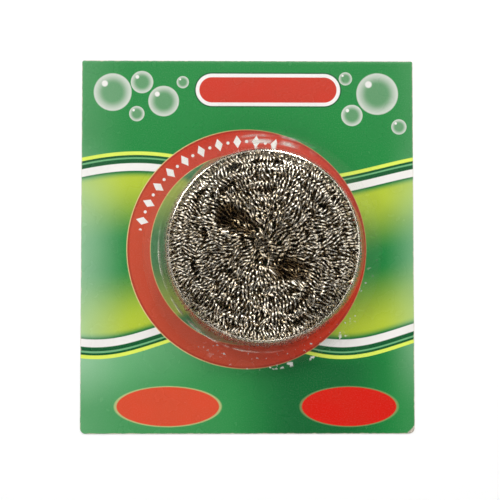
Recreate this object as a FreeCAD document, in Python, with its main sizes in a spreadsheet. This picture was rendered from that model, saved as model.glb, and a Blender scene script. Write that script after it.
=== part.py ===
import FreeCAD, Part
import math
import os

import Sketcher
from FreeCAD import Placement, Rotation, Vector

# Carded pot scrubber: a pad of curled steel wire, loose under a clear round blister
# that is sealed to a printed board card. Millimetres. The card lies on its back:
# the origin is the centre of its back face, X to its right, Y to its top edge, Z out
# of its printed face.

# Driving sizes
SIZES = {
    "card_width": 130.0,
    "card_height": 146.0,
    "card_thickness": 0.5,
    "card_top_corner": 0.8,
    "card_bottom_corner": 2.2,
    "blister_shift_right": 5.7,
    "blister_shift_down": 1.0,
    "seal_thickness": 0.1,
    "seal_margin": 1.0,
    "film_thickness": 0.4,
    "flange_width": 6.5,
    "draft_angle": 7.7,
    "foot_radius": 0.8,
    "shoulder_radius": 1.4,
    "crown_rise": 1.0,
    "head_room": 0.7,
    "scrubber_diameter": 72.8,
    "edge_setback": 2.3,
    "strand_diameter": 4.8,
    "strand_gap": 0.5,
    "wire_diameter": 0.9,
    "tie_diameter": 0.6,
    "tie_bend_radius": 1.5,
    "tie_tail": 2.5,
    "fit_gap": 0.3,
}

# Counts: layers of winding, half turns of each spiral arm, curls along the front strand
LAYERS = 4
EDGE_HALF_TURNS = 4
FULL_HALF_TURNS = 5
CURLS = 100
STEPS_PER_CURL = 4

# The tie goes through the two eyes of the winding, which lie on this slant
EYE_DIRECTION = 130.0

doc = FreeCAD.newDocument("Scrubber")
sheet = doc.addObject("Spreadsheet::Sheet", "Sizes")
for row, (alias, number) in enumerate(SIZES.items(), start=1):
    sheet.set(f"A{row}", alias.replace("_", " "))
    sheet.set(f"B{row}", str(number))
    sheet.setAlias(f"B{row}", alias)
doc.recompute()

# Sizes that follow from the driving ones, as expressions on the sheet
SEAT = "(Sizes.card_thickness + Sizes.fit_gap)"
STEP = "(Sizes.strand_diameter + Sizes.strand_gap)"
TIE_BOTTOM = f"({SEAT} + Sizes.tie_diameter / 2)"
FIRST_LAYER = f"({SEAT} + Sizes.tie_diameter + Sizes.fit_gap + Sizes.strand_diameter / 2)"
LAST_LAYER = f"({FIRST_LAYER} + {LAYERS - 1} * {STEP})"
TIE_TOP = f"({LAST_LAYER} + (Sizes.strand_diameter + Sizes.tie_diameter) / 2 + Sizes.fit_gap)"
FULL_REACH = "((Sizes.scrubber_diameter - Sizes.strand_diameter) / 2)"
EDGE_REACH = f"({FULL_REACH} - Sizes.edge_setback)"
FULL_EYE = f"(({FULL_REACH} - {FULL_HALF_TURNS - 1} * {STEP}) / 2)"
EDGE_EYE = f"(({EDGE_REACH} - {EDGE_HALF_TURNS - 1} * {STEP}) / 2)"
FLANGE_SEAT = "(Sizes.card_thickness + Sizes.seal_thickness)"
DEPTH = f"({TIE_TOP} + Sizes.tie_diameter / 2 + Sizes.head_room - {FLANGE_SEAT})"
FRONT_RADIUS = "(Sizes.scrubber_diameter / 2 + Sizes.fit_gap)"
BASE_RADIUS = f"({FRONT_RADIUS} + {DEPTH} * tan(Sizes.draft_angle * 1deg))"
FOOT_REACH = f"({BASE_RADIUS} + Sizes.film_thickness + Sizes.foot_radius)"
FLANGE_RADIUS = f"({BASE_RADIUS} + Sizes.film_thickness + Sizes.flange_width)"


def value(expression):
    """The number that an expression on the sheet has now."""
    return float(sheet.evalExpression(expression))


def new_body(label, x="0", y="0", z="0"):
    """A body with its own name, placed by three expressions."""
    body = doc.addObject("PartDesign::Body", label)
    body.Label = label
    for axis, expression in (("x", x), ("y", y), ("z", z)):
        body.setExpression(f"Placement.Base.{axis}", expression)
    return body


def new_sketch(body, name, role):
    """A sketch on one of the body's own origin planes."""
    plane = next(item for item in body.Origin.OriginFeatures if item.Role == role)
    sketch = body.newObject("Sketcher::SketchObject", name)
    sketch.AttachmentSupport = [(plane, "")]
    sketch.MapMode = "FlatFace"
    return sketch


def bind(sketch, name, expression, *constraint):
    """Add a constraint whose size follows an expression on the sheet."""
    number = sketch.addConstraint(Sketcher.Constraint(*constraint, value(expression)))
    sketch.renameConstraint(number, name)
    sketch.setExpression(f"Constraints.{name}", expression)


def join_ends(sketch, count, closed):
    """Join each edge's end to the next edge's start."""
    for first in range(count if closed else count - 1):
        sketch.addConstraint(Sketcher.Constraint("Coincident", first, 2, (first + 1) % count, 1))


def round_edges(body, name, base, radius, test):
    """Round the edges of a feature that pass a test, by a radius from the sheet."""
    doc.recompute()
    names = [f"Edge{i}" for i, edge in enumerate(base.Shape.Edges, start=1) if test(edge)]
    fillet = body.newObject("PartDesign::Fillet", name)
    fillet.Base = (base, names)
    fillet.setExpression("Radius", radius)
    return fillet


# Sketch references: the origin, the horizontal axis and the vertical axis
ORIGIN = (-1, 1)
ACROSS = -1
UPRIGHT = -2
BLISTER_X = "Sizes.blister_shift_right"
BLISTER_Y = "-Sizes.blister_shift_down"


def make_card():
    """The board card: a thin plate, square at the top and rubbed round at the bottom."""
    body = new_body("backing_card")
    outline = new_sketch(body, "card_outline", "XY_Plane")
    half_x = value("Sizes.card_width") / 2
    half_y = value("Sizes.card_height") / 2
    corners = [(-half_x, -half_y), (half_x, -half_y), (half_x, half_y), (-half_x, half_y)]
    points = [Vector(x, y, 0) for x, y in corners]
    for start, end in zip(points, points[1:] + points[:1]):
        outline.addGeometry(Part.LineSegment(start, end))
    join_ends(outline, 4, closed=True)
    for edge, direction in enumerate(("Horizontal", "Vertical", "Horizontal", "Vertical")):
        outline.addConstraint(Sketcher.Constraint(direction, edge))
    outline.addConstraint(Sketcher.Constraint("Symmetric", 0, 1, 2, 1, *ORIGIN))
    bind(outline, "width", "Sizes.card_width", "DistanceX", 0, 1, 0, 2)
    bind(outline, "height", "Sizes.card_height", "DistanceY", 1, 1, 1, 2)
    board = body.newObject("PartDesign::Pad", "board")
    board.Profile = outline
    board.setExpression("Length", "Sizes.card_thickness")

    def corner(edge, side):
        upright = abs(edge.tangentAt(edge.FirstParameter).z) > 0.9
        return upright and edge.CenterOfMass.y * side > 0

    lower = round_edges(body, "bottom_corners", board, "Sizes.card_bottom_corner",
                        lambda edge: corner(edge, -1))
    round_edges(body, "top_corners", lower, "Sizes.card_top_corner",
                lambda edge: corner(edge, 1) and abs(edge.CenterOfMass.y) > half_y - 0.01)
    return body


def make_seal():
    """The ring of heat-seal lacquer that holds the blister's flange to the card."""
    body = new_body("seal_ring", BLISTER_X, BLISTER_Y, "Sizes.card_thickness")
    ring = new_sketch(body, "seal_outline", "XY_Plane")
    for number, (name, radius) in enumerate((
            ("outer", f"{FLANGE_RADIUS} - Sizes.seal_margin"),
            ("inner", FOOT_REACH))):
        ring.addGeometry(Part.Circle(Vector(0, 0, 0), Vector(0, 0, 1), value(radius)))
        ring.addConstraint(Sketcher.Constraint("Coincident", number, 3, *ORIGIN))
        bind(ring, name, radius, "Radius", number)
    lacquer = body.newObject("PartDesign::Pad", "lacquer")
    lacquer.Profile = ring
    lacquer.setExpression("Length", "Sizes.seal_thickness")
    return body


def dome_profile(sketch, corners, crown, sizes):
    """Half a dome in section: straight edges from the axis out and up, closed by a crown arc.

    The corners are pairs of expressions for radius and height. The crown's centre is on
    the axis, and the last edge runs down the axis.
    """
    points = [Vector(value(r), value(z), 0) for r, z in corners]
    rim = points[-1]
    top = value(crown)
    rise = top - rim.y
    radius = (rim.x ** 2 + rise ** 2) / (2 * rise)
    apex = Vector(0, top, 0)
    for start, end in zip(points, points[1:]):
        sketch.addGeometry(Part.LineSegment(start, end))
    arc = len(points) - 1
    circle = Part.Circle(Vector(0, top - radius, 0), Vector(0, 0, 1), radius)
    sketch.addGeometry(Part.ArcOfCircle(circle, circle.parameter(rim), circle.parameter(apex)))
    sketch.addGeometry(Part.LineSegment(apex, points[0]))
    join_ends(sketch, arc + 2, closed=True)
    sketch.addConstraint(Sketcher.Constraint("Coincident", 0, 1, *ORIGIN))
    sketch.addConstraint(Sketcher.Constraint("Horizontal", 0))
    sketch.addConstraint(Sketcher.Constraint("PointOnObject", arc, 3, UPRIGHT))
    sketch.addConstraint(Sketcher.Constraint("PointOnObject", arc, 2, UPRIGHT))
    for name, expression, *constraint in sizes:
        bind(sketch, name, expression, *constraint)
    bind(sketch, "crown", crown, "DistanceY", *ORIGIN, arc, 2)


def make_blister():
    """The clear film: a flange, a drafted wall with a rounded foot and shoulder, a low crown."""
    body = new_body("blister", BLISTER_X, BLISTER_Y, FLANGE_SEAT)
    film = "Sizes.film_thickness"
    outside = new_sketch(body, "outside", "XZ_Plane")
    dome_profile(
        outside,
        [("0", "0"), (FLANGE_RADIUS, "0"), (FLANGE_RADIUS, film),
         (f"{BASE_RADIUS} + {film}", film), (f"{FRONT_RADIUS} + {film}", f"{DEPTH} + {film}")],
        f"{DEPTH} + {film} + Sizes.crown_rise",
        [("flange", FLANGE_RADIUS, "DistanceX", *ORIGIN, 0, 2),
         ("film", film, "DistanceY", 1, 1, 1, 2),
         ("foot", f"{BASE_RADIUS} + {film}", "DistanceX", *ORIGIN, 2, 2),
         ("front", f"{FRONT_RADIUS} + {film}", "DistanceX", *ORIGIN, 3, 2),
         ("depth", f"{DEPTH} + {film}", "DistanceY", *ORIGIN, 3, 2)])
    outside.addConstraint(Sketcher.Constraint("Vertical", 1))
    outside.addConstraint(Sketcher.Constraint("Horizontal", 2))
    solid = body.newObject("PartDesign::Revolution", "formed_outside")
    solid.Profile = outside
    solid.ReferenceAxis = (outside, ["V_Axis"])

    inside = new_sketch(body, "inside", "XZ_Plane")
    dome_profile(
        inside,
        [("0", "0"), (BASE_RADIUS, "0"), (FRONT_RADIUS, DEPTH)],
        f"{DEPTH} + Sizes.crown_rise",
        [("base", BASE_RADIUS, "DistanceX", *ORIGIN, 0, 2),
         ("front", FRONT_RADIUS, "DistanceX", *ORIGIN, 1, 2),
         ("depth", DEPTH, "DistanceY", *ORIGIN, 1, 2)])
    hollow = body.newObject("PartDesign::Groove", "hollow")
    hollow.Profile = inside
    hollow.ReferenceAxis = (inside, ["V_Axis"])

    def ring(radius, height):
        def test(edge):
            level = abs(edge.BoundBox.ZMin - value(height)) < 0.01 and edge.BoundBox.ZLength < 0.01
            return level and abs(edge.BoundBox.XMax - value(radius)) < 0.01
        return test

    foot = round_edges(body, "foot", hollow, "Sizes.foot_radius",
                       ring(f"{BASE_RADIUS} + {film}", film))
    foot_inside = round_edges(body, "foot_inside", foot, f"Sizes.foot_radius + {film}",
                              ring(BASE_RADIUS, "0"))
    shoulder = round_edges(body, "shoulder", foot_inside, "Sizes.shoulder_radius",
                           ring(f"{FRONT_RADIUS} + {film}", f"{DEPTH} + {film}"))
    round_edges(body, "shoulder_inside", shoulder, f"Sizes.shoulder_radius - {film}",
                ring(FRONT_RADIUS, DEPTH))
    return body


def half_turn_radius(eye, turn):
    """The radius of one half turn, counted out from the middle of the double spiral."""
    return eye if turn == 1 else f"(2 * {eye} + {turn - 1.5} * {STEP})"


def spiral_arm(arm, eye, half_turns):
    """One arm of the double spiral, from the middle out, as half circles on the X axis.

    A half turn that goes to the right passes over the top, and one that goes to the left
    under the bottom. Arm 1 leaves the middle to the right and arm -1 to the left, so the
    two make an S there, with an eye on each side, and wind out one strand step apart.
    Each half turn is its number, its centre, its radius and its side, 1 or -1.
    """
    start = 0.0
    for turn in range(1, half_turns + 1):
        radius = value(half_turn_radius(eye, turn))
        side = arm if turn % 2 else -arm
        yield turn, start + side * radius, radius, side
        start += 2 * side * radius


def plain_strand(label, layer, eye, half_turns):
    """One layer of the pad as a fat tube, the outline of its curls, wound in a double spiral."""
    body = new_body(label, BLISTER_X, BLISTER_Y, f"{FIRST_LAYER} + {layer} * {STEP}")
    path = new_sketch(body, label + "_path", "XY_Plane")
    for arm, arm_name in ((1, "right"), (-1, "left")):
        inner = ORIGIN
        for turn, centre, radius, side in spiral_arm(arm, eye, half_turns):
            circle = Part.Circle(Vector(centre, 0, 0), Vector(0, 0, 1), radius)
            angles = (0, math.pi) if side > 0 else (math.pi, 2 * math.pi)
            number = path.addGeometry(Part.ArcOfCircle(circle, *angles))
            path.addConstraint(Sketcher.Constraint("Coincident", number, 2, *inner))
            path.addConstraint(Sketcher.Constraint("PointOnObject", number, 1, ACROSS))
            path.addConstraint(Sketcher.Constraint("PointOnObject", number, 3, ACROSS))
            bind(path, f"{arm_name}_{turn}", half_turn_radius(eye, turn), "Radius", number)
            inner = (number, 1)
    section = new_sketch(body, label + "_section", "XZ_Plane")
    end = centre + side * radius
    thickness = "Sizes.strand_diameter / 2"
    section.addGeometry(Part.Circle(Vector(end, 0, 0), Vector(0, 0, 1), value(thickness)))
    section.addConstraint(Sketcher.Constraint("PointOnObject", 0, 3, ACROSS))
    bind(section, "thickness", thickness, "Radius", 0)
    ends = (*ORIGIN, 0, 3) if end > 0 else (0, 3, *ORIGIN)
    bind(section, "reach", f"2 * {eye} + {half_turns - 1} * {STEP}", "DistanceX", *ends)
    tube = body.newObject("PartDesign::AdditivePipe", label + "_tube")
    tube.Profile = section
    tube.Spine = (path, [f"Edge{i}" for i in range(1, 2 * half_turns + 1)])
    return body


def spiral_point(arcs, distance):
    """A point on the double spiral: its place, its heading, its left normal and its bend."""
    for centre, radius, angle, turn in arcs:
        length = math.pi * radius
        if distance <= length:
            break
        distance -= length
    else:
        distance = length
    angle += turn * distance / radius
    out = Vector(math.cos(angle), math.sin(angle), 0)
    heading = Vector(-out.y, out.x, 0) * turn
    return Vector(centre, 0, 0) + out * radius, heading, out * -turn, turn / radius


def curl_nodes(eye, half_turns):
    """Points and headings along a curled wire whose axis is the double spiral.

    The wire goes round the axis at a steady rate, a fixed number of steps to a curl.
    """
    arms = {arm: list(spiral_arm(arm, eye, half_turns)) for arm in (1, -1)}
    arcs = [(centre, radius, 0.0 if side > 0 else math.pi, 1)
            for _, centre, radius, side in reversed(arms[-1])]
    arcs += [(centre, radius, math.pi if side > 0 else 0.0, -1)
             for _, centre, radius, side in arms[1]]
    length = sum(math.pi * radius for _, radius, _, _ in arcs)
    offset = (value("Sizes.strand_diameter") - value("Sizes.wire_diameter")) / 2
    rate = 2 * math.pi * CURLS / length
    up = Vector(0, 0, 1)
    for step in range(CURLS * STEPS_PER_CURL + 1):
        distance = length * step / (CURLS * STEPS_PER_CURL)
        place, heading, normal, bend = spiral_point(arcs, distance)
        cosine = math.cos(rate * distance)
        sine = math.sin(rate * distance)
        point = place + (normal * cosine + up * sine) * offset
        along = heading * (1 - bend * offset * cosine)
        around = (up * cosine - normal * sine) * (offset * rate)
        yield point, (along + around).normalize()


def arc_middle(start, heading, end):
    """The middle of the circular arc that leaves a point on a heading and ends at another."""
    chord = end - start
    along = chord * (1 / chord.Length)
    aside = heading - along * heading.dot(along)
    half_turn = math.atan2(aside.Length, heading.dot(along))
    bulge = chord.Length / 2 * math.tan(half_turn / 2)
    return start + chord * 0.5 + aside.normalize() * bulge


def biarc(first, second):
    """Two arcs that join two points smoothly, each point with its heading."""
    (start, leave), (end, arrive) = first, second
    span = end - start
    lean = span.dot(leave + arrive)
    spread = 2 * (1 - leave.dot(arrive))
    leg = (math.sqrt(lean ** 2 + spread * span.dot(span)) - lean) / spread
    joint = (start + leave * leg + end - arrive * leg) * 0.5
    yield Part.Arc(start, arc_middle(start, leave, joint), joint)
    yield Part.Arc(joint, arc_middle(end, arrive * -1, joint), end)


def least_gap(points, thickness, skip):
    """The least gap of a tube to itself, on points along it that are more than skip apart."""
    nearest = min(points[i].distanceToPoint(points[j])
                  for i in range(len(points)) for j in range(i + skip, len(points)))
    return nearest - thickness


def curled_strand(label, layer, eye, half_turns):
    """The front layer of the pad as curled wire, wound in the same double spiral."""
    nodes = list(curl_nodes(eye, half_turns))
    edges = []
    points = []
    for first, second in zip(nodes, nodes[1:]):
        for arc in biarc(first, second):
            edges.append(arc.toShape())
            points.append(arc.value(arc.FirstParameter))
    start, heading = nodes[0]
    wire = value("Sizes.wire_diameter")
    section = Part.Wire([Part.Circle(start, heading, wire / 2).toShape()])
    shell = Part.BRepOffsetAPI.MakePipeShell(Part.Wire(edges))
    shell.add(section)
    shell.build()
    shell.makeSolid()
    strand = doc.addObject("Part::Feature", label)
    strand.Label = label
    strand.Shape = shell.shape()
    level = value(f"{FIRST_LAYER} + {layer} * {STEP}")
    strand.Placement = Placement(Vector(value(BLISTER_X), value(BLISTER_Y), level), Rotation())
    print(f"{label}: least gap to itself {least_gap(points, wire, STEPS_PER_CURL):.2f} mm")
    return strand


def make_tie():
    """The staple of thicker wire that goes through both eyes and holds the layers together.

    It crosses the front of the pad, goes down through the eyes and turns in behind it.
    """
    body = new_body("tie_wire", BLISTER_X, BLISTER_Y)
    body.Placement.Rotation = Rotation(Vector(0, 0, 1), EYE_DIRECTION)
    bend = value("Sizes.tie_bend_radius")
    tail = value("Sizes.tie_tail")
    leg = value(FULL_EYE)
    low = value(TIE_BOTTOM)
    high = value(TIE_TOP)
    turn = leg - bend
    ends = [(turn - tail, low), (turn, low), (leg, low + bend), (leg, high - bend), (turn, high),
            (-turn, high), (-leg, high - bend), (-leg, low + bend), (-turn, low), (tail - turn, low)]
    centres = [(turn, low + bend), (turn, high - bend), (-turn, high - bend), (-turn, low + bend)]
    path = new_sketch(body, "tie_path", "XZ_Plane")
    points = [Vector(x, z, 0) for x, z in ends]
    for number, (start, end) in enumerate(zip(points, points[1:])):
        if number % 2 == 0:
            path.addGeometry(Part.LineSegment(start, end))
            continue
        x, z = centres[number // 2]
        first = math.pi / 2 * (number // 2 - 1)
        circle = Part.Circle(Vector(x, z, 0), Vector(0, 0, 1), bend)
        path.addGeometry(Part.ArcOfCircle(circle, first, first + math.pi / 2))
        bind(path, f"bend_{number // 2}", "Sizes.tie_bend_radius", "Radius", number)
    for number in range(len(points) - 2):
        path.addConstraint(Sketcher.Constraint("Tangent", number, 2, number + 1, 1))
    for number, direction in ((0, "Horizontal"), (2, "Vertical"), (4, "Horizontal"), (6, "Vertical")):
        path.addConstraint(Sketcher.Constraint(direction, number))
    path.addConstraint(Sketcher.Constraint("Horizontal", 8))
    bind(path, "leg_one", FULL_EYE, "DistanceX", *ORIGIN, 2, 1)
    bind(path, "leg_two", FULL_EYE, "DistanceX", 6, 1, *ORIGIN)
    bind(path, "front", TIE_TOP, "DistanceY", *ORIGIN, 4, 1)
    bind(path, "back_one", TIE_BOTTOM, "DistanceY", *ORIGIN, 0, 1)
    bind(path, "back_two", TIE_BOTTOM, "DistanceY", *ORIGIN, 8, 1)
    bind(path, "tail_one", "Sizes.tie_tail", "DistanceX", 0, 1, 0, 2)
    bind(path, "tail_two", "Sizes.tie_tail", "DistanceX", 8, 1, 8, 2)
    section = new_sketch(body, "tie_section", "YZ_Plane")
    first_end = f"{FULL_EYE} - Sizes.tie_bend_radius - Sizes.tie_tail"
    thickness = "Sizes.tie_diameter / 2"
    section.setExpression("AttachmentOffset.Base.z", first_end)
    section.addGeometry(Part.Circle(Vector(0, low, 0), Vector(0, 0, 1), value(thickness)))
    section.addConstraint(Sketcher.Constraint("PointOnObject", 0, 3, UPRIGHT))
    bind(section, "thickness", thickness, "Radius", 0)
    bind(section, "level", TIE_BOTTOM, "DistanceY", *ORIGIN, 0, 3)
    staple = body.newObject("PartDesign::AdditivePipe", "staple")
    staple.Profile = section
    staple.Spine = (path, [f"Edge{i}" for i in range(1, len(points))])
    return body


pieces = [
    make_card(),
    make_seal(),
    make_blister(),
    plain_strand("back_strand", 0, EDGE_EYE, EDGE_HALF_TURNS),
    plain_strand("lower_strand", 1, FULL_EYE, FULL_HALF_TURNS),
    plain_strand("upper_strand", 2, FULL_EYE, FULL_HALF_TURNS),
    curled_strand("front_strand", 3, EDGE_EYE, EDGE_HALF_TURNS),
    make_tie(),
]
doc.recompute()

for item in doc.Objects:
    if "Invalid" in item.State or "Error" in item.State:
        raise RuntimeError(f"{item.Label} failed: {item.State}")
for piece in pieces:
    if piece.Shape.isNull() or not piece.Shape.isValid():
        raise RuntimeError(f"{piece.Label} has no valid shape")

os.makedirs("parts", exist_ok=True)
for piece in pieces:
    piece.Shape.exportStep(f"parts/{piece.Label}.step")
    print(f"{piece.Label}: {len(piece.Shape.Solids)} solid, {piece.Shape.Volume:.0f} cubic mm")
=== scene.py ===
import logging
import math
from dataclasses import dataclass, field
from enum import Enum

import bpy
import numpy as np
from mathutils import Matrix, Vector


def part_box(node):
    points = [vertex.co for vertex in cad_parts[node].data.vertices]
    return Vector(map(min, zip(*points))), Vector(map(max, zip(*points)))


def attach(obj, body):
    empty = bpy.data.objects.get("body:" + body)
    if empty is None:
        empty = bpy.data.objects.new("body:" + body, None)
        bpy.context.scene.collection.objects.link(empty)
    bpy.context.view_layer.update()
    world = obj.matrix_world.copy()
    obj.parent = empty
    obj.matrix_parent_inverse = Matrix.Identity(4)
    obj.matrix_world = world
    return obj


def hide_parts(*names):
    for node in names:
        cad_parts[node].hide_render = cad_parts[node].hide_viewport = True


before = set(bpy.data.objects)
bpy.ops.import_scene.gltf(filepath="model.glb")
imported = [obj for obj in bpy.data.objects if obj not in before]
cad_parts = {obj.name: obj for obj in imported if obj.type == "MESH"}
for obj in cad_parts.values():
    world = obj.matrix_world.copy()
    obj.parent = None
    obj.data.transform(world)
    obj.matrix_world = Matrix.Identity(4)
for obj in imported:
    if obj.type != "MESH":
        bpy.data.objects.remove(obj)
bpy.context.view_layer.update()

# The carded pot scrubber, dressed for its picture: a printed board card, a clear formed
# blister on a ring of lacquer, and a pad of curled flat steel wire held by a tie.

MM = 0.001
LOG = logging.getLogger("scrubber")

Array = np.ndarray
Random = np.random.Generator
Material = bpy.types.Material
Piece = bpy.types.Object
Socket = bpy.types.NodeSocket
World = bpy.types.World
Triple = tuple[float, float, float]
Colour = Triple
# The number that gives a fade's start, the number that gives its end, and the start and
# the end themselves where they are not 0 and 1
Fade = tuple[float, ...]


class Body(Enum):
    """The bodies of the frame that pieces ride on."""

    CARD = "card"
    BLISTER = "blister"
    SCRUBBER = "scrubber"


class Slot(Enum):
    """The names of the record's material slots."""

    BOARD = "printed_board"
    FILM = "clear_film"
    STEEL = "steel_wire"


def ink(red: float, green: float, blue: float) -> Colour:
    """Turn a screen colour of 0 to 255 into the linear values of 0 to 1 that shaders take."""
    screen = np.array([red, green, blue]) / 255.0
    return tuple(np.where(screen <= 0.04045, screen / 12.92, ((screen + 0.055) / 1.055) ** 2.4).tolist())


class Value:
    """A number inside a shader, which Python's operators work on."""

    def __init__(self, shader: "Shader", socket: Socket) -> None:
        """Keep the shader and the socket that carries the number."""
        self.shader = shader
        self.socket = socket

    def __add__(self, other: "Number") -> "Value":
        """Add a number to this one."""
        return self.shader.math("ADD", self, other)

    __radd__ = __add__

    def __sub__(self, other: "Number") -> "Value":
        """Take a number from this one."""
        return self.shader.math("SUBTRACT", self, other)

    def __rsub__(self, other: "Number") -> "Value":
        """Take this number from another."""
        return self.shader.math("SUBTRACT", other, self)

    def __mul__(self, other: "Number") -> "Value":
        """Multiply this number by another."""
        return self.shader.math("MULTIPLY", self, other)

    __rmul__ = __mul__

    def __truediv__(self, other: "Number") -> "Value":
        """Divide this number by another."""
        return self.shader.math("DIVIDE", self, other)

    def __pow__(self, power: "Number") -> "Value":
        """Raise this number to a power."""
        return self.shader.math("POWER", self, power)

    def __abs__(self) -> "Value":
        """Drop this number's sign."""
        return self.shader.math("ABSOLUTE", self)

    def ease(self, low: float, high: float, start: float = 0.0, end: float = 1.0) -> "Value":
        """Go smoothly from a start where this number is low to an end where it is high.

        Args:
            low: the number that gives the start.
            high: the number that gives the end.
            start: the result at the start.
            end: the result at the end.

        Returns:
            The eased number.
        """
        sockets = {"Value": self, "From Min": low, "From Max": high, "To Min": start, "To Max": end}
        node = self.shader.node("ShaderNodeMapRange", {"interpolation_type": "SMOOTHSTEP"}, sockets)
        return Value(self.shader, node.outputs["Result"])


Number = Value | float


class Shader:
    """The nodes of a material or of the surroundings, added one by one."""

    def __init__(self, owner: Material | World) -> None:
        """Start the owner with no nodes.

        Args:
            owner: the material or the surroundings.
        """
        self.owner = owner
        owner.use_nodes = True
        self.tree = owner.node_tree
        self.tree.nodes.clear()

    def node(self, kind: str, settings: dict | None = None, sockets: dict | None = None) -> bpy.types.Node:
        """Add one node.

        Args:
            kind: the node's type.
            settings: the node's own properties, which are set first.
            sockets: a number, a colour or a link for each input, by name or place.

        Returns:
            The new node.
        """
        made = self.tree.nodes.new(kind)
        for name, setting in (settings or {}).items():
            setattr(made, name, setting)
        for key, feed in (sockets or {}).items():
            target = made.inputs[key]
            source = feed.socket if isinstance(feed, Value) else feed
            if isinstance(source, Socket):
                self.tree.links.new(source, target)
            elif target.type == "RGBA":
                target.default_value = (*source, 1.0)
            else:
                target.default_value = source
        return made

    def math(self, operation: str, *terms: Number) -> Value:
        """Add one Math node that works on some numbers, and give its result."""
        node = self.node("ShaderNodeMath", {"operation": operation}, dict(enumerate(terms)))
        return Value(self, node.outputs[0])

    def length(self, across: Value, up: Value) -> Value:
        """Give the length of a step across and up."""
        return self.math("SQRT", across * across + up * up)

    def place(self) -> tuple[Value, Value, Value]:
        """Give the piece's own coordinates.

        Returns:
            The places along the three axes, in millimetres.
        """
        coordinates = self.node("ShaderNodeTexCoord").outputs["Object"]
        parts = self.node("ShaderNodeSeparateXYZ", None, {0: coordinates})
        return tuple(Value(self, part) / MM for part in parts.outputs)

    def noise(self, size: float, detail: float = 2.0, stretch: Triple = (1.0, 1.0, 1.0)) -> Value:
        """Give a cloudy pattern on the piece's own coordinates.

        Args:
            size: the size of its patches in millimetres.
            detail: how many finer layers it has.
            stretch: how much finer it is along each axis.

        Returns:
            The pattern, about 0.5 in the mean.
        """
        coordinates = self.node("ShaderNodeTexCoord").outputs["Object"]
        scaled = self.node("ShaderNodeMapping", None, {"Vector": coordinates, "Scale": stretch})
        node = self.node("ShaderNodeTexNoise", None,
                         {"Vector": scaled.outputs[0], "Scale": 1.0 / (size * MM), "Detail": detail})
        return Value(self, node.outputs[0])

    def mix(self, share: Number, first: Colour | Socket, second: Colour | Socket) -> Socket:
        """Blend two colours, with that share of the second, and give the blend."""
        node = self.node("ShaderNodeMix", {"data_type": "RGBA"}, {0: share, 6: first, 7: second})
        return node.outputs[2]

    def bump(self, height: Value, depth: float, strength: float) -> Socket:
        """Give a normal that follows a height from 0 to 1, which stands for a depth in millimetres."""
        sockets = {"Height": height, "Distance": depth * MM, "Strength": strength}
        return self.node("ShaderNodeBump", None, sockets).outputs["Normal"]

    def attribute(self, name: str) -> Value:
        """Give a number that is stored on the piece's points."""
        return Value(self, self.node("ShaderNodeAttribute", {"attribute_name": name}).outputs["Fac"])

    def principled(self, sockets: dict) -> Socket:
        """Add the main surface shader and give its output."""
        return self.node("ShaderNodeBsdfPrincipled", None, sockets).outputs[0]

    def over_clear(self, share: Value, surface: Socket, tint: Colour = (1.0, 1.0, 1.0)) -> Socket:
        """Let a share of a surface show over a clear film of some tint."""
        clear = self.node("ShaderNodeBsdfTransparent", None, {"Color": tint}).outputs[0]
        return self.node("ShaderNodeMixShader", None, {0: share, 1: clear, 2: surface}).outputs[0]

    def close(self, surface: Socket) -> Material | World:
        """Send a surface to the owner's output.

        Args:
            surface: the output of the last shader.

        Returns:
            The owner, which is ready for use.
        """
        kind = "World" if isinstance(self.owner, World) else "Material"
        self.node("ShaderNodeOutput" + kind, None, {"Surface": surface})
        return self.owner


@dataclass(frozen=True)
class Band:
    """A band of a number: its middle, half width, soft edge either way and share."""

    middle: float
    half: float
    soft: float = 0.12
    share: float = 1.0

    def on(self, number: Value) -> Value:
        """Give the share where the number lies in the band, and 0 outside."""
        return abs(number - self.middle).ease(self.half - self.soft, self.half + self.soft, self.share, 0.0)


Bands = tuple[tuple[Band, Colour | Socket], ...]


@dataclass
class Page:
    """A print that is laid down ink by ink, with places in mm across and up the card."""

    shader: Shader
    x: Value
    y: Value
    colour: Colour | Socket

    def lay(self, share: Number, colour: Colour | Socket) -> None:
        """Lay a colour over the print where its share is above 0."""
        self.colour = self.shader.mix(share, self.colour, colour)

    def lay_bands(self, number: Value, bands: Bands) -> None:
        """Lay some bands of a number one over the other, each in its colour."""
        for band, colour in bands:
            self.lay(band.on(number), colour)

    def round(self, x: float, y: float) -> tuple[Value, Value]:
        """Give the distance from a point and the turn about it in radians."""
        right, up = self.x - x, self.y - y
        return self.shader.length(right, up), self.shader.math("ARCTAN2", up, right)


@dataclass(frozen=True)
class Wave:
    """A printed wave in mm, with its lines above it where the side is 1 and below it where -1."""

    height: float
    swing: float
    length: float
    phase: float
    side: int

    def away(self, page: Page) -> Value:
        """Give the distance from the wave's middle: height plus swing times the sine of the place."""
        rise = page.shader.math("SINE", page.x * (2 * math.pi / self.length) + self.phase)
        return (page.y - self.height - rise * self.swing) * self.side


@dataclass(frozen=True)
class Bubble:
    """A printed soap bubble, in mm."""

    x: float
    y: float
    radius: float


@dataclass(frozen=True)
class Oval:
    """A bare printed oval: its place and half sizes in mm, its red and how much its outline shows."""

    x: float
    y: float
    half_width: float
    half_height: float
    red: Colour
    outline: float


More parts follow.
